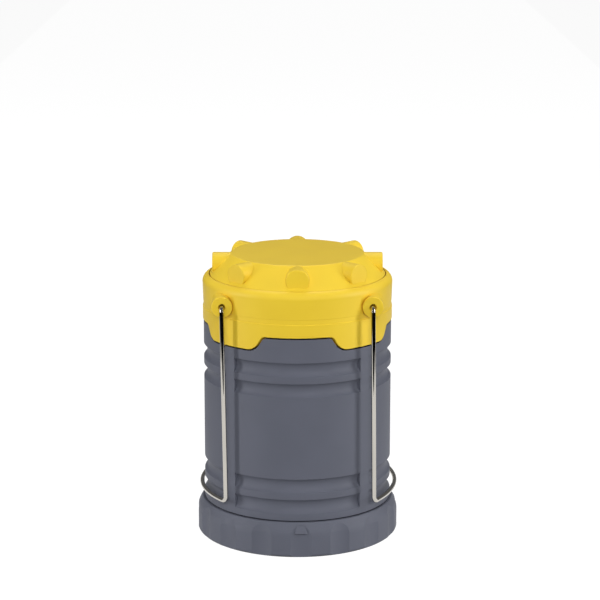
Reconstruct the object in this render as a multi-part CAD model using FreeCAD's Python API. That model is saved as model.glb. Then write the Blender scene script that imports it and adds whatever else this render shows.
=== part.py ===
import FreeCAD, Part
import math
import os
from FreeCAD import Vector

# Pop-up camping lantern, shown closed. Millimetres, +Z up, origin at the middle of the
# underside. The wire handles hang at +X and -X, and -Y is the front.
# Pulling the cap up slides the lamp unit out of the body and lights it, and a twist of the
# base frees the cover of the battery compartment.

# ---- driving dimensions -------------------------------------------------------------
BODY_R = 41.0            # plain outside of the body
BODY_BORE = 38.4         # inside of the body
GRIP_R = 44.2            # land of the base grip ring
GRIP_TOP = 15.3          # top edge of the grip ring
BODY_BASE = 15.7         # underside of the body shell's outer wall
RIM_HIGH = 96.0          # cap edge above the body's four tongues
RIM_LOW = 90.0           # lower edge of the cap's four lugs
RIM_GAP = 0.6            # visible gap between cap and body
CAP_TOP = 115.6          # top of the cap ring
LID_TOP = 124.7          # flat top of the lid
PIVOT_X = 32.0           # handle pivots, left and right of the middle
PIVOT_Z = 107.3
BOSS_FACE = 32.0         # outer faces of the pivot bosses, front and back
WIRE_R = 1.0             # handle wire
LEG_Y = 33.3             # handle legs, front and back of the middle
GRIP_Z = 21.9            # handle grip at rest
GRIP_X = 42.4            # furthest reach of the grip
LAMP_TRAVEL = 55.0       # how far the lamp unit pulls out
TWIST = 30.0             # how far the base turns before its lugs come free

TUBE_R = 19.0            # outside of the battery tube
SHROUD_R = 36.0          # outside of the clear shroud
SHROUD_BORE = 34.4
FLANGE_Z = 27.0          # underside of the shroud's foot, closed
CAP_SHELF = 101.0        # underside of the shelf inside the cap
COLUMN_FLAT = 21.4       # across-flats half width of the six-sided LED column

EPS = 0.5                # overshoot of a cutting tool


# ---- small makers -------------------------------------------------------------------
def polar(radius, degrees, z=0.0):
    angle = math.radians(degrees)
    return Vector(radius * math.cos(angle), radius * math.sin(angle), z)


def turned(start, *steps, sweep=360.0, first=0.0):
    """Solid of revolution about Z from an outline in (radius, z). A step is the next corner,
    or a pair (point on the way, next corner) for an arc."""
    edges = []
    here = start
    for step in steps + (start,):
        arc = isinstance(step[0], tuple)
        end = step[1] if arc else step
        a = Vector(here[0], 0, here[1])
        b = Vector(end[0], 0, end[1])
        if arc:
            edges.append(Part.Arc(a, Vector(step[0][0], 0, step[0][1]), b).toShape())
        elif a.distanceToPoint(b) > 1e-6:
            edges.append(Part.LineSegment(a, b).toShape())
        here = end
    face = Part.Face(Part.Wire(edges))
    face.rotate(Vector(), Vector(0, 0, 1), first)
    return face.revolve(Vector(), Vector(0, 0, 1), sweep)


def disc(radius, low, high, centre=(0.0, 0.0)):
    return Part.makeCylinder(radius, high - low, Vector(centre[0], centre[1], low))


def ring(outer, inner, low, high):
    return disc(outer, low, high).cut(disc(inner, low - EPS, high + EPS))


def around(shape, count, first=0.0):
    """Copies of a shape spread evenly about Z."""
    copies = []
    for index in range(count):
        copy = shape.copy()
        copy.rotate(Vector(), Vector(0, 0, 1), first + index * 360.0 / count)
        copies.append(copy)
    return copies


def block(x, y, z):
    """Box between the limits given for each axis."""
    return Part.makeBox(x[1] - x[0], y[1] - y[0], z[1] - z[0], Vector(x[0], y[0], z[0]))


def hexagon(flat, low, high):
    corners = [polar(flat / math.cos(math.radians(30)), 60 * k, low) for k in range(7)]
    return Part.Face(Part.makePolygon(corners)).extrude(Vector(0, 0, high - low))


# ---- the castellated split between cap and body ---------------------------------------
LUG_FOOT = 18.3          # half angle of a lug's foot, before its corners are rounded
LUG_ROOT = 23.7          # half angle where its slanting sides reach the cap edge
FOOT_ROUND = 5.5         # rounding of the lug's two foot corners
ROOT_ROUND = 2.2         # rounding of the tongues' corners beside it
RIM_BREAK = 0.3          # edges along the split are broken by this much


def lug_outline(grow, top):
    """Outline of one cap lug, seen along +X, grown all round by a gap."""
    foot = BODY_R * math.sin(math.radians(LUG_FOOT))
    root = BODY_R * math.sin(math.radians(LUG_ROOT))
    slope = math.atan2(RIM_HIGH - RIM_LOW, root - foot)
    foot += grow * math.tan(slope / 2)
    root += grow * math.tan(slope / 2)
    low = RIM_LOW - grow
    high = RIM_HIGH - grow
    corners = [(-root, high), (-foot, low), (foot, low), (root, high)]
    rounds = [ROOT_ROUND - grow, FOOT_ROUND + grow, FOOT_ROUND + grow, ROOT_ROUND - grow]
    wide = BODY_R * math.sin(math.radians(45)) + 5.0
    points = [(-wide, high)] + corners + [(wide, high)]
    edges = []
    here = Vector(0, *points[0])
    for before, corner, after, radius in zip(points, points[1:], points[2:], rounds):
        a, b, c = (Vector(0, *p) for p in (before, corner, after))
        back = (a - b).normalize()
        on = (c - b).normalize()
        setback = radius * math.tan((math.pi - back.getAngle(on)) / 2)
        start = b + back * setback
        end = b + on * setback
        inward = (back + on).normalize()
        hub = b + inward * math.hypot(setback, radius)
        edges.append(Part.LineSegment(here, start).toShape())
        edges.append(Part.Arc(start, hub - inward * radius, end).toShape())
        here = end
    last = Vector(0, *points[-1])
    up = [last, Vector(0, wide, top), Vector(0, -wide, top), Vector(0, *points[0])]
    edges.append(Part.LineSegment(here, last).toShape())
    edges += [Part.LineSegment(p, q).toShape() for p, q in zip(up, up[1:])]
    return Part.Wire(edges)


def above_split(grow, top):
    """Everything above the split line, as four sectors that meet on the tongues."""
    reach = BODY_R + 6.0
    sector = Part.Face(lug_outline(grow, top)).extrude(Vector(reach, 0, 0))
    wedge_points = [Vector(), Vector(reach, -reach, 0), Vector(reach, reach, 0), Vector()]
    wedge = Part.Face(Part.makePolygon(wedge_points)).extrude(Vector(0, 0, top + EPS))
    sectors = around(sector.common(wedge), 4, 45.0)
    return sectors[0].multiFuse(sectors[1:]).removeSplitter()


def break_split_edges(shape, radius, low, high):
    """Round the outer edges of a shell along the split."""
    edges = []
    for edge in shape.Edges:
        points = edge.discretize(5)
        on_skin = all(abs(math.hypot(p.x, p.y) - radius) < 0.01 for p in points)
        if on_skin and all(low < p.z < high for p in points):
            edges.append(edge)
    return shape.makeFillet(RIM_BREAK, edges)


# ---- housing: the body and the battery compartment ------------------------------------
GROOVES = ((82.1, 6.2), (73.1, 6.0), (31.0, 6.2), (21.8, 6.4))   # middle height, width
GROOVE_DEPTH = 1.5
GROOVE_SPAN = 82.0       # each groove stops at four plain rails, and
GROOVE_TRACE = 0.18      # only a trace of it runs on across them
FLOOR_LOW = 15.9
FLOOR_HIGH = 18.4
NECK_R = 37.7            # neck that the base cover twists onto
NECK_LOW = 5.2
LUG_R = 39.9             # bayonet lugs on the neck
RIB_R = 37.3             # guide ribs that keep the lamp unit from turning
COLLAR_LOW = 85.5
COLLAR_HIGH = 88.5
COLLAR_SEAT = 38.9       # groove inside the mouth that the collar snaps into


def groove_tool(middle, width, depth, span):
    """Length of torus that sinks a round-bottomed groove into the outside of the body."""
    radius = (width ** 2 / 4 + depth ** 2) / (2 * depth)
    hub = BODY_R - depth + radius
    return Part.makeTorus(hub, radius, Vector(0, 0, middle), Vector(0, 0, 1), 0, 360, span)


def body_shell():
    wall = ring(BODY_R, BODY_BORE, BODY_BASE, RIM_HIGH + 2)
    floor = ring(BODY_BORE + EPS, TUBE_R, FLOOR_LOW, FLOOR_HIGH)
    neck = ring(NECK_R, NECK_R - 2.2, NECK_LOW, FLOOR_LOW + EPS)
    lug = turned((NECK_R - 1, 7.0), (LUG_R, 7.0), (LUG_R, 9.0), (NECK_R - 1, 9.0),
                 sweep=10.0, first=85.0)
    rib = block((RIB_R, BODY_BORE + EPS), (-1.2, 1.2), (FLOOR_HIGH - EPS, COLLAR_LOW))
    shell = wall.multiFuse([floor, neck] + around(lug, 3) + around(rib, 4, 45.0))
    tools = [ring(COLLAR_SEAT, BODY_BORE - EPS, COLLAR_LOW, COLLAR_HIGH),
             above_split(RIM_GAP, RIM_HIGH + 4)]
    rail_span = 90.0 - GROOVE_SPAN + 2 * EPS
    for middle, width in GROOVES:
        groove = groove_tool(middle, width, GROOVE_DEPTH, GROOVE_SPAN)
        trace = groove_tool(middle, width - EPS, GROOVE_TRACE, rail_span)
        tools += around(groove, 4, -GROOVE_SPAN / 2)
        tools += around(trace, 4, 45.0 - rail_span / 2)
    shell = shell.cut(tools).removeSplitter()
    return break_split_edges(shell, BODY_R, RIM_LOW - 2, RIM_HIGH)


def retaining_collar():
    """Ring snapped into the mouth, which stops the shroud's foot at full reach."""
    return turned((SHROUD_R + 0.4, COLLAR_LOW), (COLLAR_SEAT, COLLAR_LOW),
                  (COLLAR_SEAT, COLLAR_HIGH), (SHROUD_R + 1.0, COLLAR_HIGH),
                  (SHROUD_R + 0.4, COLLAR_HIGH - 0.6))


def battery_tube():
    """Cup that holds the battery cage, open downwards, with a foot on the body's floor."""
    cup = turned((TUBE_R - 1.2, FLOOR_LOW), (TUBE_R, FLOOR_LOW), (TUBE_R, FLOOR_HIGH),
                 (TUBE_R + 2.5, FLOOR_HIGH), (TUBE_R + 2.5, FLOOR_HIGH + 1.2),
                 (TUBE_R, FLOOR_HIGH + 1.2), (TUBE_R, 60.0), (TUBE_R - 1.0, 61.0),
                 (0, 61.0), (0, 59.6), (TUBE_R - 1.2, 59.6))
    return cup


CELL_R = 7.1             # AA cell, 14.2 across and 50.5 long
CELL_PITCH = 8.75
CELL_LOW = 6.9
CELL_HIGH = 57.4
CAGE_R = 17.4
CAGE = (4.4, 59.3)


def battery_cage():
    """Three-cell holder: two end plates, a spine and three outer posts."""
    cage = disc(CAGE_R, *CAGE)
    pocket = disc(CELL_R + 0.25, CELL_LOW - 0.5, CELL_HIGH + 0.4, (CELL_PITCH, 0))
    window = block((CELL_PITCH, CAGE_R + EPS), (-6.0, 6.0), (CELL_LOW - 0.5, CELL_HIGH + 0.4))
    return cage.cut(around(pocket, 3, 90.0) + around(window, 3, 90.0))


def battery_cells():
    cell = disc(CELL_R, CELL_LOW, CELL_HIGH - 1.2, (CELL_PITCH, 0))
    nub = disc(2.7, CELL_HIGH - 1.3, CELL_HIGH, (CELL_PITCH, 0))
    cells = around(cell.fuse(nub), 3, 90.0)
    cells[1].rotate(polar(CELL_PITCH, 210, (CELL_LOW + CELL_HIGH) / 2), Vector(1, 0, 0), 180)
    return Part.makeCompound(cells)


def cell_contacts():
    """Six stamped plates, one at each end of each cell."""
    low = block((CELL_PITCH - 4, CELL_PITCH + 4), (-3.5, 3.5), (CELL_LOW - 0.5, CELL_LOW - 0.1))
    high = block((CELL_PITCH - 4, CELL_PITCH + 4), (-3.5, 3.5), (CELL_HIGH, CELL_HIGH + 0.4))
    return Part.makeCompound(around(low, 3, 90.0) + around(high, 3, 90.0))


def contact_rails():
    """Two strips up the battery tube that the lamp unit's wipers reach when it is out."""
    strip = block((TUBE_R - 0.2, TUBE_R + 0.3), (-1.5, 1.5), (34.0, 58.5))
    shell = ring(TUBE_R + 0.3, TUBE_R, 34.0, 58.5)
    return Part.makeCompound([s.common(shell) for s in around(strip, 2)])


def neck_seal():
    """Square rubber ring in the neck, under the body's outer wall."""
    return ring(38.2, NECK_R, 12.6, 14.4)


# ---- base: the twist-off cover ---------------------------------------------------------
FLUTES = 16
FLUTE_R = 13.5           # radius of the tool that hollows a flute
FLUTE_DEPTH = 1.0
FLUTE_TURN = 2.0         # the flutes sit a little off the front
FLUTE_KNEE = 10.7        # above this a flute leans back, by
FLUTE_LEAN = 0.171       # so much for each millimetre of height
COVER_BORE = 38.5
COVER_FLOOR = 2.4
SLOT_R = 40.3            # bayonet track inside the cover
CUP_R = 35.5             # hollow underside within the foot ring


def base_cover():
    cover = turned((0, 0.8), (CUP_R, 0.8), (CUP_R + 0.8, 0), (42.6, 0),
                   ((43.75, 0.6), (GRIP_R, 2.3)), (GRIP_R, 9.2),
                   ((44.02, 10.9), (43.55, 12.4)), (42.0, GRIP_TOP - 0.1),
                   (41.7, GRIP_TOP), (COVER_BORE, GRIP_TOP), (COVER_BORE, COVER_FLOOR),
                   (0, COVER_FLOOR))
    over = GRIP_TOP + EPS
    flute = turned((0, -EPS), (FLUTE_R, -EPS), (FLUTE_R, FLUTE_KNEE),
                   (FLUTE_R + FLUTE_LEAN * (over - FLUTE_KNEE), over), (0, over))
    flute.translate(Vector(GRIP_R - FLUTE_DEPTH + FLUTE_R, 0, 0))
    track = ring(SLOT_R, COVER_BORE - EPS, 6.6, 9.4)
    entry = turned((COVER_BORE - EPS, 6.6), (SLOT_R, 6.6), (SLOT_R, GRIP_TOP + EPS),
                   (COVER_BORE - EPS, GRIP_TOP + EPS), sweep=14.0, first=83.0 + TWIST)
    tools = around(flute, FLUTES, FLUTE_TURN - 90.0) + [track] + around(entry, 3)
    return cover.cut(tools).fuse(index_mark()).removeSplitter()


def index_mark():
    """Raised wedge at the top of the front flute that shows how far the base is turned."""
    low, high = FLUTE_KNEE, 14.3
    side = [Vector(41.5, 0, low), Vector(43.6, 0, low), Vector(42.75, 0, high),
            Vector(41.5, 0, high), Vector(41.5, 0, low)]
    front = [Vector(0, -3.0, low), Vector(0, 3.0, low), Vector(0, 1.5, high),
             Vector(0, -1.5, high), Vector(0, -3.0, low)]
    depth = Part.Face(Part.makePolygon(side)).extrude(Vector(0, 8.0, 0))
    depth.translate(Vector(0, -4.0, 0))
    mark = depth.common(Part.Face(Part.makePolygon(front)).extrude(Vector(GRIP_R, 0, 0)))
    mark.rotate(Vector(), Vector(0, 0, 1), FLUTE_TURN - 90.0)
    return mark


def cover_contact():
    """Sprung brass dome in the middle of the cover, under the battery cage."""
    return turned((0, COVER_FLOOR), (7.0, COVER_FLOOR), (7.0, COVER_FLOOR + 0.5),
                  (4.2, COVER_FLOOR + 0.5), (2.6, 4.1), (0, 4.1))


# ---- lamp head: cap, lid and lamp unit --------------------------------------------------
SKIRT_R = 41.3           # outside of the cap's skirt
LEDGE_Z = 113.0          # ledge that the lid sits on
LEDGE_BORE = 36.4
LID_SEAT = 38.6          # bore above the ledge
SHELF_BORE = 24.0
BOSS_R = 4.5
PIVOT_BORE = 1.08        # running fit on the handle wire
BLIND_END = 25.2         # how near the middle the pivot holes reach


def cap_ring():
    skirt = turned((BODY_BORE, RIM_LOW - 2), (SKIRT_R, RIM_LOW - 2), (SKIRT_R, 101.6),
                   (41.05, 101.85), (41.0, 103.8), (41.1, 104.0),
                   (41.35, 111.9), ((40.6, 114.5), (38.9, CAP_TOP)),
                   (LID_SEAT, CAP_TOP), (LID_SEAT, LEDGE_Z), (LEDGE_BORE, LEDGE_Z),
                   (LEDGE_BORE, LEDGE_Z - 1), (BODY_BORE, LEDGE_Z - 3), (BODY_BORE, CAP_SHELF + 2),
                   (SHELF_BORE, CAP_SHELF + 2), (SHELF_BORE, CAP_SHELF), (BODY_BORE, CAP_SHELF))
    skirt = skirt.common(above_split(0.0, CAP_TOP + 2))
    skirt = break_split_edges(skirt, SKIRT_R, RIM_LOW - 1, RIM_HIGH + 1)
    pieces = []
    holes = []
    for x in (-PIVOT_X, PIVOT_X):
        for side in (-1, 1):
            outwards = Vector(0, side, 0)
            face = Vector(x, side * BOSS_FACE, PIVOT_Z)
            boss = Part.makeCylinder(BOSS_R, BOSS_FACE - 10, face - outwards * (BOSS_FACE - 10),
                                     outwards)
            edges = [e for e in boss.Edges if abs(e.CenterOfMass.y - face.y) < 0.01]
            boss = boss.makeFillet(0.4, edges)
            pieces.append(boss.cut(disc(BODY_BORE, PIVOT_Z - 8, PIVOT_Z + 8)))
            holes.append(Part.makeCylinder(PIVOT_BORE, BOSS_FACE - BLIND_END + EPS,
                                           face + outwards * EPS, -outwards))
            holes.append(Part.makeCone(1.6, PIVOT_BORE, 0.8, face, -outwards))
    screws = around(disc(1.4, CAP_SHELF - EPS, CAP_SHELF + 2.5, (31.0, 0)), 4, 22.5)
    pilots = around(disc(1.0, CAP_SHELF - EPS, CAP_SHELF + 2.5, (25.6, 0)), 3, 90.0)
    return skirt.multiFuse(pieces).cut(holes + screws + pilots).removeSplitter()


NUB_R = 5.0
NUB_Z = 119.6
NUB_FACE = 37.0
POST_R = 2.8


def cap_lid():
    dome = turned((0, LEDGE_Z), (38.2, LEDGE_Z), (38.2, 115.6), (29.1, 124.35),
                  ((28.75, 124.6), (28.3, LID_TOP)), (0, LID_TOP))
    nub = Part.makeCylinder(NUB_R, 12.0, Vector(NUB_FACE - 12.0, 0, NUB_Z), Vector(1, 0, 0))
    face = [e for e in nub.Edges if abs(e.CenterOfMass.x - NUB_FACE) < 0.01]
    nub = nub.makeFillet(0.5, face)
    hollow = turned((0, LEDGE_Z - EPS), (36.0, LEDGE_Z - EPS), (36.0, 114.6), (27.6, 122.5),
                    (0, 122.5))
    posts = around(disc(POST_R, CAP_SHELF + 2, 118.0, (31.0, 0)), 4, 22.5)
    pilots = around(disc(1.15, CAP_SHELF + 1, 112.0, (31.0, 0)), 4, 22.5)
    shell = dome.multiFuse(around(nub, 8, -90.0)).cut(hollow)
    return shell.multiFuse(posts).cut(pilots).removeSplitter()


def lid_screws():
    head = disc(2.4, CAP_SHELF - 1.6, CAP_SHELF, (31.0, 0))
    shank = disc(1.1, CAP_SHELF - EPS, 111.0, (31.0, 0))
    return Part.makeCompound(around(head.fuse(shank), 4, 22.5))


def driver_board():
    board = disc(27.0, CAP_SHELF + 2, CAP_SHELF + 3.6)
    return board.cut(around(disc(1.05, CAP_SHELF, CAP_SHELF + 5, (25.6, 0)), 3, 90.0))


def board_screws():
    head = disc(1.9, CAP_SHELF + 3.6, CAP_SHELF + 4.8, (25.6, 0))
    shank = disc(0.95, CAP_SHELF - 1, CAP_SHELF + 4, (25.6, 0))
    return Part.makeCompound(around(head.fuse(shank), 3, 90.0))


def lamp_shroud():
    """Clear tube with a foot that the retaining collar catches. Four notches in the foot
    ride on the body's guide ribs."""
    foot = BODY_BORE - 0.4
    tube = turned((SHROUD_BORE, FLANGE_Z), (foot, FLANGE_Z), (foot, FLANGE_Z + 2.5),
                  (SHROUD_R, FLANGE_Z + 3.5), (SHROUD_R, CAP_SHELF), (SHROUD_BORE, CAP_SHELF))
    notch = block((RIB_R - 0.4, foot + EPS), (-1.6, 1.6), (FLANGE_Z - EPS, FLANGE_Z + 4))
    return tube.cut(around(notch, 4, 45.0))


def upper_reflector():
    """Bright dish under the cap that turns the light outwards."""
    return turned((0, 98.2), (24.0, 98.2), (SHROUD_BORE, 94.4), (SHROUD_BORE, 95.6),
                  (24.4, 99.4), (0, 99.4))


def lower_reflector():
    """Bright floor of the lamp chamber, seated in the foot of the shroud."""
    return turned((25.0, FLANGE_Z + 5.2), (SHROUD_BORE, FLANGE_Z + 2.0), (SHROUD_BORE, FLANGE_Z),
                  (33.0, FLANGE_Z), (25.0, FLANGE_Z + 3.6))


COLUMN = (FLANGE_Z + 2.0, 98.2)
COLUMN_WALL = 1.2
BOARD = 0.8
LED_ROWS = 5
LED_PITCH = 10.5
LED_FIRST = 45.0


def led_column():
    """Six-sided tower that carries the light boards. It is hollow, and slips down over the
    battery tube when the lantern is closed."""
    tower = hexagon(COLUMN_FLAT, *COLUMN)
    return tower.cut(hexagon(COLUMN_FLAT - COLUMN_WALL, COLUMN[0] - EPS, COLUMN[1] - 1.6))


def led_boards():
    board = block((COLUMN_FLAT, COLUMN_FLAT + BOARD), (-8.5, 8.5), (38.0, 93.5))
    return Part.makeCompound(around(board, 6, 30.0))


def leds():
    """Thirty surface-mounted LEDs, five on each board."""
    rows = []
    for row in range(LED_ROWS):
        z = LED_FIRST + row * LED_PITCH
        led = block((COLUMN_FLAT + BOARD, COLUMN_FLAT + BOARD + 0.9), (-1.9, 1.9),
                    (z - 1.6, z + 1.6))
        rows += around(led, 6, 30.0)
    return Part.makeCompound(rows)


def wiper_contacts():
    """Two sprung leaves at the foot of the column, facing the rails on the battery tube."""
    leaf = block((TUBE_R + 0.6, TUBE_R + 0.9), (-1.2, 1.2), (30.0, 37.0))
    foot = block((TUBE_R + 0.6, COLUMN_FLAT - COLUMN_WALL), (-1.2, 1.2), (30.0, 31.0))
    return Part.makeCompound(around(leaf.fuse(foot), 2, 90.0))


# ---- wire handles -----------------------------------------------------------------------
CORNER = 2.2             # bend at the foot of each leg
EYE_BEND = 2.0           # bend into the pivot boss
WIRE_END = 25.8          # end of the wire inside the boss


def handle(side):
    """Bail of round wire: in at one boss, down, round in a bowed grip, up and in again."""
    bow = GRIP_X - PIVOT_X
    grip_r = (bow ** 2 + LEG_Y ** 2 - CORNER ** 2) / (2 * bow)
    hub = Vector(GRIP_X - grip_r, 0, GRIP_Z)
    foot = Vector(PIVOT_X, -LEG_Y, GRIP_Z)
    reach = math.atan2(LEG_Y, foot.x - hub.x)
    lean = reach - math.atan2(CORNER, grip_r)
    along = Vector(math.sin(lean), math.cos(lean), 0)
    up = Vector(0, 0, 1)
    inwards = Vector(0, 1, 0)
    eye = Vector(PIVOT_X, -LEG_Y, PIVOT_Z)
    half = math.sqrt(0.5)
    eye_mid = eye + (inwards - up) * EYE_BEND - (inwards - up) * EYE_BEND * half
    foot_mid = foot + (up + along) * CORNER - (up + along) * CORNER * half
    end = Vector(PIVOT_X, -WIRE_END, PIVOT_Z)
    front = [
        Part.LineSegment(end, eye + inwards * EYE_BEND),
        Part.Arc(eye + inwards * EYE_BEND, eye_mid, eye - up * EYE_BEND),
        Part.LineSegment(eye - up * EYE_BEND, foot + up * CORNER),
        Part.Arc(foot + up * CORNER, foot_mid, foot + along * CORNER),
    ]
    middle = Vector(GRIP_X, 0, GRIP_Z)
    start = foot + along * CORNER
    grip = Part.Arc(start, middle, Vector(start.x, -start.y, start.z))
    edges = [curve.toShape() for curve in front]
    back = [edge.mirror(Vector(), Vector(0, 1, 0)) for edge in edges]
    path = Part.Wire(edges + [grip.toShape()] + back[::-1])
    section = Part.Wire(Part.makeCircle(WIRE_R, end, inwards))
    wire = path.makePipeShell([section], True, False)
    if side < 0:
        wire.rotate(Vector(), Vector(0, 0, 1), 180)
    return wire


def main():
    os.makedirs("parts", exist_ok=True)
    makers = [
        body_shell, retaining_collar, battery_tube, battery_cage, battery_cells,
        cell_contacts, contact_rails, neck_seal, base_cover, cover_contact, cap_ring, cap_lid,
        lid_screws, driver_board, board_screws, lamp_shroud, upper_reflector, lower_reflector,
        led_column, led_boards, leds, wiper_contacts,
    ]
    nodes = {maker.__name__: maker() for maker in makers}
    nodes["left_handle"] = handle(-1)
    nodes["right_handle"] = handle(1)
    for name, shape in nodes.items():
        shape.exportStep(f"parts/{name}.step")
        solids = len(shape.Solids)
        print(f"{name}: {solids} solid(s), {shape.Volume / 1000:.2f} cm3, valid {shape.isValid()}")


main()
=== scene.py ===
import math

import bmesh
import bpy
from mathutils import Matrix, Vector


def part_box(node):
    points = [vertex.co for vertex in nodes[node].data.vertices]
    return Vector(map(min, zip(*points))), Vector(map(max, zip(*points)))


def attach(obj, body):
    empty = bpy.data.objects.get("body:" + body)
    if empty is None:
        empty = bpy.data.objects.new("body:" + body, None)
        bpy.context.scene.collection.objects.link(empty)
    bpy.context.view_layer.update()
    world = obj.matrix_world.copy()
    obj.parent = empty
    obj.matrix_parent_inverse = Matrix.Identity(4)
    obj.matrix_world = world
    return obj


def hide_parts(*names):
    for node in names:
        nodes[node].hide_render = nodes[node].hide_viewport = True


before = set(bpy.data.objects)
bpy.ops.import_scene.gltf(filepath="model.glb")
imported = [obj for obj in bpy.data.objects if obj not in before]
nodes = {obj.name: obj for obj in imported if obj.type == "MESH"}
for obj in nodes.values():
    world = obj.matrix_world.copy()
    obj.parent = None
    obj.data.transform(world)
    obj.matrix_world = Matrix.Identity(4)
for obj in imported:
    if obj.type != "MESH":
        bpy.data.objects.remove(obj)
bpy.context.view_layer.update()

# ---- camera ----------------------------------------------------------------------------
# A long lens a little under a metre away, looking slightly down on the closed lantern. The
# standard view shows the colours as they are mixed.
camera_data = bpy.data.cameras.new("camera")
camera_data.sensor_width = 36.0
camera_data.lens = 131.7
camera_data.shift_x = 0.0043
camera = bpy.data.objects.new("camera", camera_data)
camera.location = (0.0, -0.9345, 0.3188)
camera.rotation_euler = (math.radians(77.01), 0.0, 0.0)
bpy.context.collection.objects.link(camera)
bpy.context.scene.camera = camera
bpy.context.scene.view_settings.view_transform = "Standard"

# ---- studio ----------------------------------------------------------------------------
# A white table that runs away to the horizon, a tall softbox at each side, one in front and
# one high behind, and walls that look white but give little light. Black cloth covers the
# near part of the table and both its sides, where only the lantern sees it.
FLOOR_REACH = 12.0
TABLE_EDGE = -0.298
TABLE_SIDE = 0.36
CLOTH_LIFT = 0.0005


def finished(name, build):
    """Turn modelled geometry into an object that sits at the origin."""
    mesh = bpy.data.meshes.new(name)
    build.to_mesh(mesh)
    build.free()
    piece = bpy.data.objects.new(name, mesh)
    bpy.context.collection.objects.link(piece)
    return piece


def flat_card(name, low, high, height):
    build = bmesh.new()
    bmesh.ops.create_grid(build, x_segments=1, y_segments=1, size=0.5)
    middle = Vector(((low[0] + high[0]) / 2, (low[1] + high[1]) / 2, height))
    bmesh.ops.scale(build, vec=(high[0] - low[0], high[1] - low[1], 1.0), verts=build.verts)
    bmesh.ops.translate(build, vec=middle, verts=build.verts)
    card = finished(name, build)
    return card


def softbox(name, place, aim, size, watts, mirrored=True):
    data = bpy.data.lights.new(name, "AREA")
    data.shape = "RECTANGLE"
    data.size, data.size_y = size
    data.energy = watts
    light = bpy.data.objects.new(name, data)
    light.location = place
    light.rotation_euler = (Vector(aim) - Vector(place)).to_track_quat("-Z", "Y").to_euler()
    light.visible_glossy = mirrored
    bpy.context.collection.objects.link(light)


def ranged(tree, value, low, high, start=0.0, end=1.0):
    """Carry a value from start..end over to low..high and return its socket."""
    node = tree.nodes.new("ShaderNodeMapRange")
    node.inputs["From Min"].default_value = start
    node.inputs["From Max"].default_value = end
    node.inputs["To Min"].default_value = low
    node.inputs["To Max"].default_value = high
    tree.links.new(value, node.inputs["Value"])
    return node.outputs["Result"]


def studio_paint(name, tone, glow, spill):
    """Matt paint with its own glow, and a weaker one as a source of stray light."""
    material = bpy.data.materials.new(name)
    material.use_nodes = True
    tree = material.node_tree
    shader = tree.nodes["Principled BSDF"]
    shader.inputs["Base Color"].default_value = (tone, tone, tone, 1.0)
    shader.inputs["Roughness"].default_value = 1.0
    shader.inputs["Specular IOR Level"].default_value = 0.0
    shader.inputs["Emission Color"].default_value = (1.0, 1.0, 1.0, 1.0)
    path = tree.nodes.new("ShaderNodeLightPath")
    strength = ranged(tree, path.outputs["Is Diffuse Ray"], glow, spill)
    tree.links.new(strength, shader.inputs["Emission Strength"])
    return material


table = flat_card("table", (-FLOOR_REACH, -FLOOR_REACH), (FLOOR_REACH, FLOOR_REACH), 0.0)
table.data.materials.append(studio_paint("white_table", 0.15, 0.95, 0.05))
black_cloth = studio_paint("black_cloth", 0.002, 0.0, 0.0)
for name, low, high in (
        ("front_cloth", (-FLOOR_REACH, -FLOOR_REACH), (FLOOR_REACH, TABLE_EDGE)),
        ("left_cloth", (-FLOOR_REACH, TABLE_EDGE), (-TABLE_SIDE, FLOOR_REACH)),
        ("right_cloth", (TABLE_SIDE, TABLE_EDGE), (FLOOR_REACH, FLOOR_REACH))):
    cloth = flat_card(name, low, high, CLOTH_LIFT)
    cloth.visible_camera = False
    cloth.visible_shadow = False
    cloth.visible_transmission = False
    cloth.data.materials.append(black_cloth)

softbox("left_softbox", (-1.090, -0.340, 0.28), (0, 0, 0.06), (0.12, 0.80), 6.2)
softbox("right_softbox", (1.096, -0.269, 0.40), (0, 0, 0.06), (0.26, 0.80), 7.2)
softbox("front_softbox", (0.0, -1.04, 0.61), (0, 0, 0.1), (0.7, 0.5), 8.5, mirrored=False)
softbox("back_softbox", (0.0, 0.5, 1.19), (0, 0, 0.1), (0.8, 0.6), 5.1)

world = bpy.data.worlds.new("dim_walls")
bpy.context.scene.world = world
world.use_nodes = True
walls = world.node_tree.nodes["Background"]
walls.inputs["Color"].default_value = (1.0, 1.0, 1.0, 1.0)
seen = world.node_tree.nodes.new("ShaderNodeLightPath")
wall_glow = ranged(world.node_tree, seen.outputs["Is Camera Ray"], 0.15, 0.97)
world.node_tree.links.new(wall_glow, walls.inputs["Strength"])

# ---- body shell ------------------------------------------------------------------------
# The ribbed body that the lamp drops into, moulded in slate-grey plastic in a tool with a
# fine spark-eroded skin, so it is satin all over, with no seam on its round sides.
SLATE = ((0.113, 0.120, 0.154), (0.105, 0.112, 0.143))
# How far the painted shade in gaps and creases reaches, in metres.
SHADE_REACH = 0.0016


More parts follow.
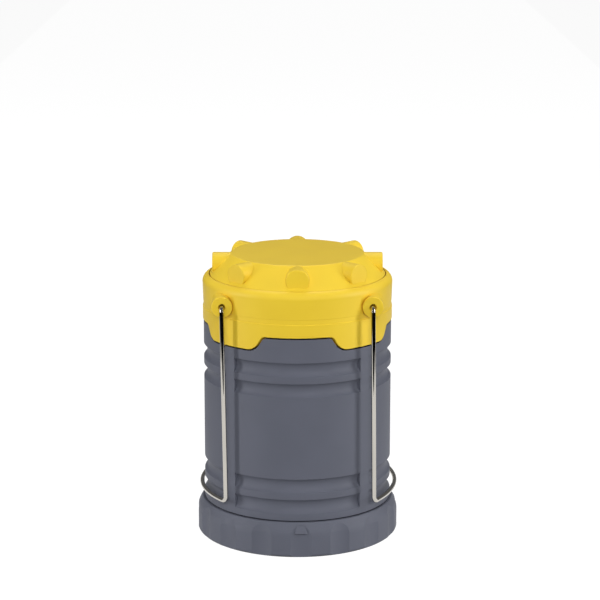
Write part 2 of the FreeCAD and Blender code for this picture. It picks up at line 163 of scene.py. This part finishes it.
def moulded_skin_group():
    """Spark-eroded skin: a fine grain height, and a soft mottle of colour and gloss."""
    tree = bpy.data.node_groups.new("moulded_skin", "ShaderNodeTree")
    for name, value in (("Grain Size", 0.0003), ("Mottle Size", 0.02)):
        socket = tree.interface.new_socket(name, in_out="INPUT", socket_type="NodeSocketFloat")
        socket.default_value = value
    for name in ("Height", "Mottle"):
        tree.interface.new_socket(name, in_out="OUTPUT", socket_type="NodeSocketFloat")
    inside = tree.nodes.new("NodeGroupInput")
    outside = tree.nodes.new("NodeGroupOutput")
    place = tree.nodes.new("ShaderNodeTexCoord")
    for source, target, detail in (("Grain Size", "Height", 3.0), ("Mottle Size", "Mottle", 2.0)):
        per_metre = tree.nodes.new("ShaderNodeMath")
        per_metre.operation = "DIVIDE"
        per_metre.inputs[0].default_value = 1.0
        tree.links.new(inside.outputs[source], per_metre.inputs[1])
        noise = tree.nodes.new("ShaderNodeTexNoise")
        noise.inputs["Detail"].default_value = detail
        tree.links.new(place.outputs["Object"], noise.inputs["Vector"])
        tree.links.new(per_metre.outputs[0], noise.inputs["Scale"])
        tree.links.new(noise.outputs["Fac"], outside.inputs[target])
    return tree


moulded_skin = moulded_skin_group()


def blend_colours(tree, mask, first, second):
    """Colour or colour socket `first` where the mask is 0 and `second` where it is 1. Sockets
    6 and 7 of the mix are its two colours, and output 2 is the colour that comes out."""
    mix = tree.nodes.new("ShaderNodeMix")
    mix.data_type = "RGBA"
    tree.links.new(mask, mix.inputs["Factor"])
    for socket, colour in ((mix.inputs[6], first), (mix.inputs[7], second)):
        if isinstance(colour, tuple):
            socket.default_value = (*colour, 1.0)
        else:
            tree.links.new(colour, socket)
    return mix.outputs[2]


def two_tones(tree, factor, first, second, start, end):
    """One colour up to `start`, the other from `end`, and a drift between them."""
    ramp = tree.nodes.new("ShaderNodeValToRGB")
    for element, colour, position in zip(ramp.color_ramp.elements, (first, second), (start, end)):
        element.position = position
        element.color = (*colour, 1.0)
    tree.links.new(factor, ramp.inputs["Fac"])
    return ramp.outputs["Color"]


def roughened(tree, shader, height, strength, depth):
    """Raise the shader's surface by a height map, `depth` metres at most."""
    bump = tree.nodes.new("ShaderNodeBump")
    bump.inputs["Strength"].default_value = strength
    bump.inputs["Distance"].default_value = depth
    tree.links.new(height, bump.inputs["Height"])
    tree.links.new(bump.outputs["Normal"], shader.inputs["Normal"])


def moulded_plastic(name, light, dark, roughness, grain=0.00028, depth=0.00002,
                    crevice_shade=(0.004, 0.004, 0.005)):
    """Satin plastic: colour drifting between two close tones, a fine grain, and painted shade in
    gaps.
    """
    material = bpy.data.materials.new(name)
    material.use_nodes = True
    tree = material.node_tree
    shader = tree.nodes["Principled BSDF"]
    shader.inputs["Specular IOR Level"].default_value = 0.4
    skin = tree.nodes.new("ShaderNodeGroup")
    skin.node_tree = moulded_skin
    skin.inputs["Grain Size"].default_value = grain
    mottle = skin.outputs["Mottle"]
    tones = two_tones(tree, mottle, dark, light, 0.35, 0.68)
    # Painted shade: an occlusion probe darkens the base colour towards the given shade colour in
    # gaps, creases and under edges.
    hollow = tree.nodes.new("ShaderNodeAmbientOcclusion")
    hollow.samples = 8
    hollow.inputs["Distance"].default_value = SHADE_REACH
    open_air = ranged(tree, hollow.outputs["AO"], 0.0, 1.0, start=0.20, end=0.58)
    tree.links.new(blend_colours(tree, open_air, crevice_shade, tones), shader.inputs["Base Color"])
    gloss = ranged(tree, mottle, roughness - 0.06, roughness + 0.06)
    tree.links.new(gloss, shader.inputs["Roughness"])
    roughened(tree, shader, skin.outputs["Height"], 0.6, depth)
    return material


def finish_node(name, material):
    """Give a designed part its material."""
    mesh = nodes[name].data
    mesh.materials.clear()
    mesh.materials.append(material)


# Painted shade darkens the grey in its grooves, gaps and creases.
grey = moulded_plastic("slate_grey_moulding", *SLATE, 0.60)
finish_node("body_shell", grey)

# ---- collar, battery tube and cage -----------------------------------------------------
# Plain black mouldings inside the body: the collar snapped into its mouth, the tube round
# the batteries, and the cage that slides into the tube from below.
black = moulded_plastic("black_moulding", (0.016, 0.016, 0.018), (0.010, 0.010, 0.011), 0.50)
finish_node("retaining_collar", black)
finish_node("battery_tube", black)
finish_node("battery_cage", black)

# ---- battery cells ---------------------------------------------------------------------
# Three AA cells in a plain shrink sleeve with a paler band near one end. The sleeve stops
# just short of both ends, where the bare steel can shows.
BARE_FOOT = 0.0016
BARE_HEAD = 0.0024
BAND_LOW = 0.006
BAND_HIGH = 0.015


def height_mask(tree, low, high):
    """1 between two heights above the ground and 0 elsewhere, read from Object coordinates."""
    place = tree.nodes.new("ShaderNodeTexCoord")
    split = tree.nodes.new("ShaderNodeSeparateXYZ")
    tree.links.new(place.outputs["Object"], split.inputs["Vector"])
    above = tree.nodes.new("ShaderNodeMath")
    above.operation = "GREATER_THAN"
    above.inputs[1].default_value = low
    tree.links.new(split.outputs["Z"], above.inputs[0])
    below = tree.nodes.new("ShaderNodeMath")
    below.operation = "LESS_THAN"
    below.inputs[1].default_value = high
    tree.links.new(split.outputs["Z"], below.inputs[0])
    both = tree.nodes.new("ShaderNodeMath")
    both.operation = "MULTIPLY"
    tree.links.new(above.outputs[0], both.inputs[0])
    tree.links.new(below.outputs[0], both.inputs[1])
    return both.outputs[0]


def sleeved_cell():
    low, high = (corner.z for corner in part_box("battery_cells"))
    material = moulded_plastic("cell_sleeve", (0.10, 0.12, 0.15), (0.085, 0.10, 0.13), 0.35)
    tree = material.node_tree
    shader = tree.nodes["Principled BSDF"]
    sleeve = shader.inputs["Base Color"].links[0].from_socket
    band = height_mask(tree, low + BAND_LOW, low + BAND_HIGH)
    banded = blend_colours(tree, band, sleeve, (0.55, 0.56, 0.58))
    covered = height_mask(tree, low + BARE_FOOT, high - BARE_HEAD)
    colour = blend_colours(tree, covered, (0.60, 0.59, 0.57), banded)
    tree.links.new(colour, shader.inputs["Base Color"])
    tree.links.new(ranged(tree, covered, 1.0, 0.0), shader.inputs["Metallic"])
    return material


finish_node("battery_cells", sleeved_cell())

# ---- contacts, rails and wipers --------------------------------------------------------
# Stamped brass strip: cell contacts in the cage, two rails up the battery tube, the wipers
# that ride on them and the sprung button in the base cover.


def drawn_metal(name, light, dark, roughness, grain, depth):
    """Metal whose gloss and colour run in fine lines along grain = (x, y, z) stretches."""
    material = bpy.data.materials.new(name)
    material.use_nodes = True
    tree = material.node_tree
    shader = tree.nodes["Principled BSDF"]
    shader.inputs["Metallic"].default_value = 1.0
    place = tree.nodes.new("ShaderNodeTexCoord")
    stretch = tree.nodes.new("ShaderNodeMapping")
    stretch.inputs["Scale"].default_value = grain
    lines = tree.nodes.new("ShaderNodeTexNoise")
    lines.inputs["Scale"].default_value = 1.0
    lines.inputs["Detail"].default_value = 3.0
    tree.links.new(place.outputs["Object"], stretch.inputs["Vector"])
    tree.links.new(stretch.outputs["Vector"], lines.inputs["Vector"])
    tones = two_tones(tree, lines.outputs["Fac"], dark, light, 0.35, 0.65)
    tree.links.new(tones, shader.inputs["Base Color"])
    gloss = ranged(tree, lines.outputs["Fac"], roughness * 0.7, roughness * 1.3)
    tree.links.new(gloss, shader.inputs["Roughness"])
    roughened(tree, shader, lines.outputs["Fac"], 0.4, depth)
    return material


stamped = drawn_metal("stamped_strip", (0.78, 0.68, 0.42), (0.66, 0.55, 0.32), 0.28,
                      (3000.0, 3000.0, 250.0), 0.000004)
for name in ("cell_contacts", "contact_rails", "cover_contact", "wiper_contacts"):
    finish_node(name, stamped)

# ---- neck seal -------------------------------------------------------------------------
# A thin band of soft black rubber round the neck of the body, dusted with talc from the
# mould, which the base cover closes over.
rubber = moulded_plastic("seal_rubber", (0.030, 0.030, 0.032), (0.014, 0.014, 0.015), 0.85,
                         grain=0.0005, depth=0.00004)
finish_node("neck_seal", rubber)

# ---- base cover ------------------------------------------------------------------------
# The fluted ring that the lantern stands on, moulded in the same grey as the body. It turns
# on the neck by its bayonet track.
# Painted shade darkens its flutes, creases and joints towards a deep slate grey.
base_grey = moulded_plastic("slate_grey_base_moulding", *SLATE, 0.60,
                            crevice_shade=(0.020, 0.021, 0.027))
finish_node("base_cover", base_grey)

# ---- index pad -------------------------------------------------------------------------
# A small raised pad at the head of the front flute shows how far the base is turned. It is
# moulded with the base cover, stands a little proud of it and has a shallow dished face.
PAD_LOW = 0.0107
PAD_HIGH = 0.0143
PAD_FOOT = (0.0029, 0.04405)
PAD_HEAD = (0.0015, 0.0427)
PAD_ROOT = 0.0415
PAD_TURN = 2.0
PAD_RIM = 0.0004
PAD_DISH = 0.0003
PAD_ROUND = 0.00018


def build_index_pad():
    build = bmesh.new()
    pad = bmesh.ops.create_cube(build, size=2.0)["verts"]
    for vert in pad:
        half, reach = PAD_HEAD if vert.co.z > 0 else PAD_FOOT
        front = vert.co.y < 0
        vert.co = (half * vert.co.x, -reach if front else -PAD_ROOT,
                   PAD_HIGH if vert.co.z > 0 else PAD_LOW)
    outer = [edge for edge in build.edges if all(vert.co.y < -PAD_ROOT for vert in edge.verts)]
    bmesh.ops.bevel(build, geom=outer, offset=PAD_ROUND, segments=3, affect="EDGES", profile=0.5,
                    material=-1)
    bmesh.ops.recalc_face_normals(build, faces=build.faces)
    front = min(build.faces, key=lambda face: face.normal.y)
    bmesh.ops.inset_region(build, faces=[front], thickness=PAD_RIM, depth=-PAD_DISH)
    bmesh.ops.rotate(build, verts=build.verts, cent=(0, 0, 0),
                     matrix=Matrix.Rotation(math.radians(PAD_TURN), 3, "Z"))
    return finished("index_pad", build)


index_pad = build_index_pad()
index_pad.data.materials.append(base_grey)
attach(index_pad, "base")

# ---- lamp tower and its boards ---------------------------------------------------------
# A hollow six-sided tower moulded in white, with a white circuit board on each side.
# Copper runs up each board under the solder mask and is broken between the LEDs.
LED_ROWS = 5
LED_PITCH = 0.0105
BREAK_REACH = 0.0026
BREAK_WIDTH = 0.0004
finish_node("led_column", moulded_plastic("white_moulding", (0.80, 0.80, 0.78),
                                          (0.76, 0.76, 0.74), 0.40))


def light_board():
    material = moulded_plastic("white_solder_mask", (0.84, 0.84, 0.82), (0.80, 0.80, 0.78), 0.30)
    tree = material.node_tree
    shader = tree.nodes["Principled BSDF"]
    colour = shader.inputs["Base Color"].links[0].from_socket
    first_row = (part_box("leds")[0].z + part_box("leds")[1].z) / 2 - LED_PITCH * (LED_ROWS - 1) / 2
    inner = BREAK_REACH - BREAK_WIDTH
    for row in range(LED_ROWS - 1):
        middle = first_row + (row + 0.5) * LED_PITCH
        trace = height_mask(tree, middle - BREAK_REACH, middle + BREAK_REACH)
        gap = height_mask(tree, middle - inner, middle + inner)
        line = tree.nodes.new("ShaderNodeMath")
        line.operation = "SUBTRACT"
        tree.links.new(trace, line.inputs[0])
        tree.links.new(gap, line.inputs[1])
        colour = blend_colours(tree, line.outputs[0], colour, (0.66, 0.65, 0.58))
    tree.links.new(colour, shader.inputs["Base Color"])
    return material


finish_node("led_boards", light_board())

# ---- LEDs ------------------------------------------------------------------------------
# Thirty surface-mounted LEDs, five up each board: a white package with a shallow well of
# yellow phosphor, and a bright solder joint at its head and its foot.
LED_SIZE = (0.0009, 0.0038, 0.0032)
LED_ROUND = 0.00012
WELL_RIM = 0.0005
WELL_SLOPE = 0.00008
WELL_DEPTH = 0.00012
SOLDER_SIZE = (0.000405, 0.00266, 0.0006)
SOLDER_BACK = 0.000243
SOLDER_LAP = 0.00003
SOLDER_ROUND = 0.00015


def build_leds():
    """One LED, copied up and round the tower. The rear board faces +Y, so the set's box gives
    the distance of every LED's face."""
    low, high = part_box("leds")
    face = high.y
    middle = (low.z + high.z) / 2
    build = bmesh.new()
    package = bmesh.ops.create_cube(build, size=1.0)["verts"]
    bmesh.ops.scale(build, vec=LED_SIZE, verts=package)
    bmesh.ops.bevel(build, geom=build.edges[:], offset=LED_ROUND, segments=2, affect="EDGES",
                    profile=0.5, material=-1)
    front = max(build.faces, key=lambda f: f.calc_center_median().x)
    bmesh.ops.inset_region(build, faces=[front], thickness=WELL_RIM, depth=0.0)
    front.material_index = 1
    bmesh.ops.inset_region(build, faces=[front], thickness=WELL_SLOPE, depth=-WELL_DEPTH)
    for sign in (-1, 1):
        pad = bmesh.ops.create_cube(build, size=1.0)["verts"]
        bmesh.ops.scale(build, vec=SOLDER_SIZE, verts=pad)
        rise = (LED_SIZE[2] + SOLDER_SIZE[2]) / 2 - SOLDER_LAP
        bmesh.ops.translate(build, verts=pad, vec=(-SOLDER_BACK, 0.0, sign * rise))
        sides = {link for vert in pad for link in vert.link_faces}
        for side in sides:
            side.material_index = 2
        top = [e for e in build.edges if e.verts[0] in pad and e.verts[1] in pad
               and all(v.co.x > -SOLDER_BACK for v in e.verts)]
        bmesh.ops.bevel(build, geom=top, offset=SOLDER_ROUND, segments=2, affect="EDGES",
                        profile=0.5, material=-1)
    bmesh.ops.translate(build, verts=build.verts, vec=(face - LED_SIZE[0] / 2, 0.0, middle))
    led = build.verts[:] + build.edges[:] + build.faces[:]
    for turn in range(6):
        for row in range(LED_ROWS):
            copy = bmesh.ops.duplicate(build, geom=led)["geom"]
            verts = [part for part in copy if isinstance(part, bmesh.types.BMVert)]
            rise = (row - (LED_ROWS - 1) / 2) * LED_PITCH
            bmesh.ops.translate(build, verts=verts, vec=(0.0, 0.0, rise))
            bmesh.ops.rotate(build, verts=verts, cent=(0, 0, 0),
                             matrix=Matrix.Rotation(math.radians(30 + 60 * turn), 3, "Z"))
    bmesh.ops.delete(build, geom=led, context="VERTS")
    return finished("led_set", build)


def phosphor_well():
    """Yellow phosphor, set unevenly under clear resin."""
    material = moulded_plastic("phosphor_well", (0.86, 0.66, 0.12), (0.76, 0.50, 0.07), 0.22,
                               grain=0.0001, depth=0.00001)
    shader = material.node_tree.nodes["Principled BSDF"]
    shader.inputs["Coat Weight"].default_value = 0.6
    return material


led_set = build_leds()
led_set.data.materials.append(moulded_plastic("led_package", (0.84, 0.83, 0.80),
                                              (0.79, 0.78, 0.74), 0.35))
led_set.data.materials.append(phosphor_well())
led_set.data.materials.append(drawn_metal("solder_joint", (0.74, 0.74, 0.73), (0.60, 0.60, 0.60),
                                          0.22, (4000.0, 4000.0, 4000.0), 0.000006))
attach(led_set, "lamp_head")
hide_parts("leds")

# ---- reflectors ------------------------------------------------------------------------
# Moulded dishes above and below the tower, plated with bright aluminium. Faint rings from
# the mould show in the plating.
bright = drawn_metal("aluminised_plating", (0.86, 0.87, 0.88), (0.80, 0.81, 0.82), 0.10,
                     (40.0, 40.0, 1800.0), 0.000004)
finish_node("upper_reflector", bright)
finish_node("lower_reflector", bright)

# ---- clear shroud ----------------------------------------------------------------------
# A clear polycarbonate tube that slides out of the body with the cap. The collar leaves
# fine upright rub marks on it, and it has a trace of haze.


def clear_tube():
    material = bpy.data.materials.new("clear_polycarbonate")
    material.use_nodes = True
    tree = material.node_tree
    shader = tree.nodes["Principled BSDF"]
    shader.inputs["Transmission Weight"].default_value = 1.0
    shader.inputs["IOR"].default_value = 1.58
    place = tree.nodes.new("ShaderNodeTexCoord")
    upright = tree.nodes.new("ShaderNodeMapping")
    upright.inputs["Scale"].default_value = (900.0, 900.0, 14.0)
    marks = tree.nodes.new("ShaderNodeTexNoise")
    marks.inputs["Scale"].default_value = 1.0
    marks.inputs["Detail"].default_value = 4.0
    tree.links.new(place.outputs["Object"], upright.inputs["Vector"])
    tree.links.new(upright.outputs["Vector"], marks.inputs["Vector"])
    haze = ranged(tree, marks.outputs["Fac"], 0.02, 0.22, start=0.45, end=0.80)
    tree.links.new(haze, shader.inputs["Roughness"])
    tones = two_tones(tree, marks.outputs["Fac"], (0.95, 0.97, 0.98), (0.90, 0.92, 0.93), 0.0, 1.0)
    tree.links.new(tones, shader.inputs["Base Color"])
    roughened(tree, shader, marks.outputs["Fac"], 0.15, 0.000004)
    return material


finish_node("lamp_shroud", clear_tube())

# ---- driver board ----------------------------------------------------------------------
# A round glass-fibre board under the cap. Copper shows through the green solder mask as
# slightly lighter lands between the etched gaps.


def driver_mask():
    material = moulded_plastic("green_solder_mask", (0.012, 0.115, 0.050), (0.008, 0.095, 0.040),
                               0.28)
    tree = material.node_tree
    shader = tree.nodes["Principled BSDF"]
    bare = shader.inputs["Base Color"].links[0].from_socket
    place = tree.nodes.new("ShaderNodeTexCoord")
    lands = tree.nodes.new("ShaderNodeTexVoronoi")
    lands.distance = "CHEBYCHEV"
    lands.feature = "DISTANCE_TO_EDGE"
    lands.inputs["Scale"].default_value = 220.0
    tree.links.new(place.outputs["Object"], lands.inputs["Vector"])
    etched = tree.nodes.new("ShaderNodeMath")
    etched.operation = "GREATER_THAN"
    etched.inputs[1].default_value = 0.06
    tree.links.new(lands.outputs["Distance"], etched.inputs[0])
    colour = blend_colours(tree, etched.outputs[0], bare, (0.020, 0.170, 0.075))
    tree.links.new(colour, shader.inputs["Base Color"])
    return material


finish_node("driver_board", driver_mask())

# ---- screws ----------------------------------------------------------------------------
# Zinc-plated pan-head screws: four hold the lid down through the cap's shelf and three the
# driver board.
zinc = drawn_metal("zinc_plate", (0.62, 0.62, 0.64), (0.50, 0.50, 0.52), 0.32,
                   (1500.0, 1500.0, 1500.0), 0.000006)
finish_node("lid_screws", zinc)
finish_node("board_screws", zinc)

# ---- cap and lid -----------------------------------------------------------------------
# The yellow mouldings: the ring with the castellated skirt and the four pivot bosses, and
# the lid with its eight grip knobs, which sits on a ledge inside the ring.
# Painted shade in its gaps and round its bosses and knobs darkens the yellow towards orange-brown.
yellow = moulded_plastic("warm_yellow_moulding", (0.85, 0.600, 0.038), (0.82, 0.570, 0.034), 0.50,
                         crevice_shade=(0.50, 0.22, 0.004))
finish_node("cap_ring", yellow)
finish_node("cap_lid", yellow)

# ---- wire handles ----------------------------------------------------------------------
# Two bails of drawn spring wire, bright nickel plated. Each is bent in at both ends, and the
# ends are sprung into the blind holes of the cap's bosses.
WIRE_RADIUS = 0.001
EYE_BEND = 0.002
FOOT_BEND = 0.0022
WIRE_END = 0.0258
WIRE_SIDES = 24
BEND_STEPS = 12
GRIP_STEPS = 40
WELD = 0.00001


def spun(build, ends, centre, axis, angle, steps):
    """Carry the open end of the wire round a bend and return the new end."""
    return bmesh.ops.spin(build, geom=ends, cent=centre, axis=axis, angle=angle, steps=steps,
                          use_duplicate=False)["geom_last"]


def drawn_on(build, ends, move):
    """Carry the open end of the wire straight on and return the new end."""
    edges = [part for part in ends if isinstance(part, bmesh.types.BMEdge)]
    geom = bmesh.ops.extrude_edge_only(build, edges=edges)["geom"]
    verts = [part for part in geom if isinstance(part, bmesh.types.BMVert)]
    bmesh.ops.translate(build, verts=verts, vec=move)
    return verts + [part for part in geom if isinstance(part, bmesh.types.BMEdge)]


def build_handle(node, body, turn, lean, spread):
    """The right handle is made where it hangs, and the left one is the same turned half round.
    Each then leans a little towards the right about its own pivots. `spread` sets its grip wider
    or closer, so that it clears the body as the lamp is drawn out."""
    low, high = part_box(node)
    pivot_x = (low.x if turn == 0 else -high.x) + WIRE_RADIUS
    grip_x = (high.x if turn == 0 else -low.x) - WIRE_RADIUS + spread
    leg_y = high.y - WIRE_RADIUS
    pivot_z = high.z - WIRE_RADIUS
    grip_z = low.z + WIRE_RADIUS
    bow = grip_x - pivot_x
    grip_radius = (bow ** 2 + leg_y ** 2 - FOOT_BEND ** 2) / (2 * bow)
    hub = Vector((grip_x - grip_radius, 0.0, grip_z))
    foot = Vector((pivot_x, -leg_y, grip_z))
    heading = math.atan2(leg_y, foot.x - hub.x) - math.atan2(FOOT_BEND, grip_radius)
    along = Vector((math.sin(heading), math.cos(heading), 0.0))
    up = Vector((0.0, 0.0, 1.0))

    build = bmesh.new()
    bmesh.ops.create_circle(build, segments=WIRE_SIDES, radius=WIRE_RADIUS)
    bmesh.ops.rotate(build, verts=build.verts, cent=(0, 0, 0),
                     matrix=Matrix.Rotation(math.radians(90), 3, "X"))
    bmesh.ops.translate(build, verts=build.verts, vec=(pivot_x, -WIRE_END, pivot_z))
    end = build.verts[:] + build.edges[:]
    end = drawn_on(build, end, (0.0, WIRE_END + EYE_BEND - leg_y, 0.0))
    end = spun(build, end, (pivot_x, EYE_BEND - leg_y, pivot_z - EYE_BEND), (1, 0, 0),
               math.radians(90), BEND_STEPS)
    end = drawn_on(build, end, (0.0, 0.0, grip_z + FOOT_BEND - (pivot_z - EYE_BEND)))
    end = spun(build, end, foot + (up + along) * FOOT_BEND, (-up).cross(along),
               math.radians(90), BEND_STEPS)
    start = foot + along * FOOT_BEND
    sweep = math.atan2(-start.y, start.x - hub.x)
    spun(build, end, hub, (0, 0, 1), sweep, GRIP_STEPS)

    half = build.verts[:] + build.edges[:] + build.faces[:]
    copy = bmesh.ops.duplicate(build, geom=half)["geom"]
    bmesh.ops.scale(build, vec=(1.0, -1.0, 1.0),
                    verts=[part for part in copy if isinstance(part, bmesh.types.BMVert)])
    bmesh.ops.remove_doubles(build, verts=build.verts, dist=WELD)
    open_edges = [edge for edge in build.edges if edge.is_boundary]
    bmesh.ops.holes_fill(build, edges=open_edges, sides=WIRE_SIDES)
    bmesh.ops.rotate(build, verts=build.verts, cent=(0, 0, 0),
                     matrix=Matrix.Rotation(math.radians(turn), 3, "Z"))
    pivot = Vector((pivot_x * math.cos(math.radians(turn)), 0.0, pivot_z))
    bmesh.ops.rotate(build, verts=build.verts, cent=pivot,
                     matrix=Matrix.Rotation(math.radians(-lean), 3, "Y"))
    bmesh.ops.recalc_face_normals(build, faces=build.faces)
    for face in build.faces:
        face.smooth = len(face.verts) == 4
    return finished(body, build)


nickel = drawn_metal("nickel_plate", (0.54, 0.515, 0.47), (0.49, 0.47, 0.43), 0.05,
                     (2500.0, 2500.0, 60.0), 0.000001)
for node, body, turn, lean, spread in (("left_handle", "left_bail", 180, 0.85, 0.0011),
                                       ("right_handle", "right_bail", 0, 0.62, -0.0002)):
    bail = build_handle(node, body, turn, lean, spread)
    bail.data.materials.append(nickel)
    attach(bail, body)
    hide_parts(node)
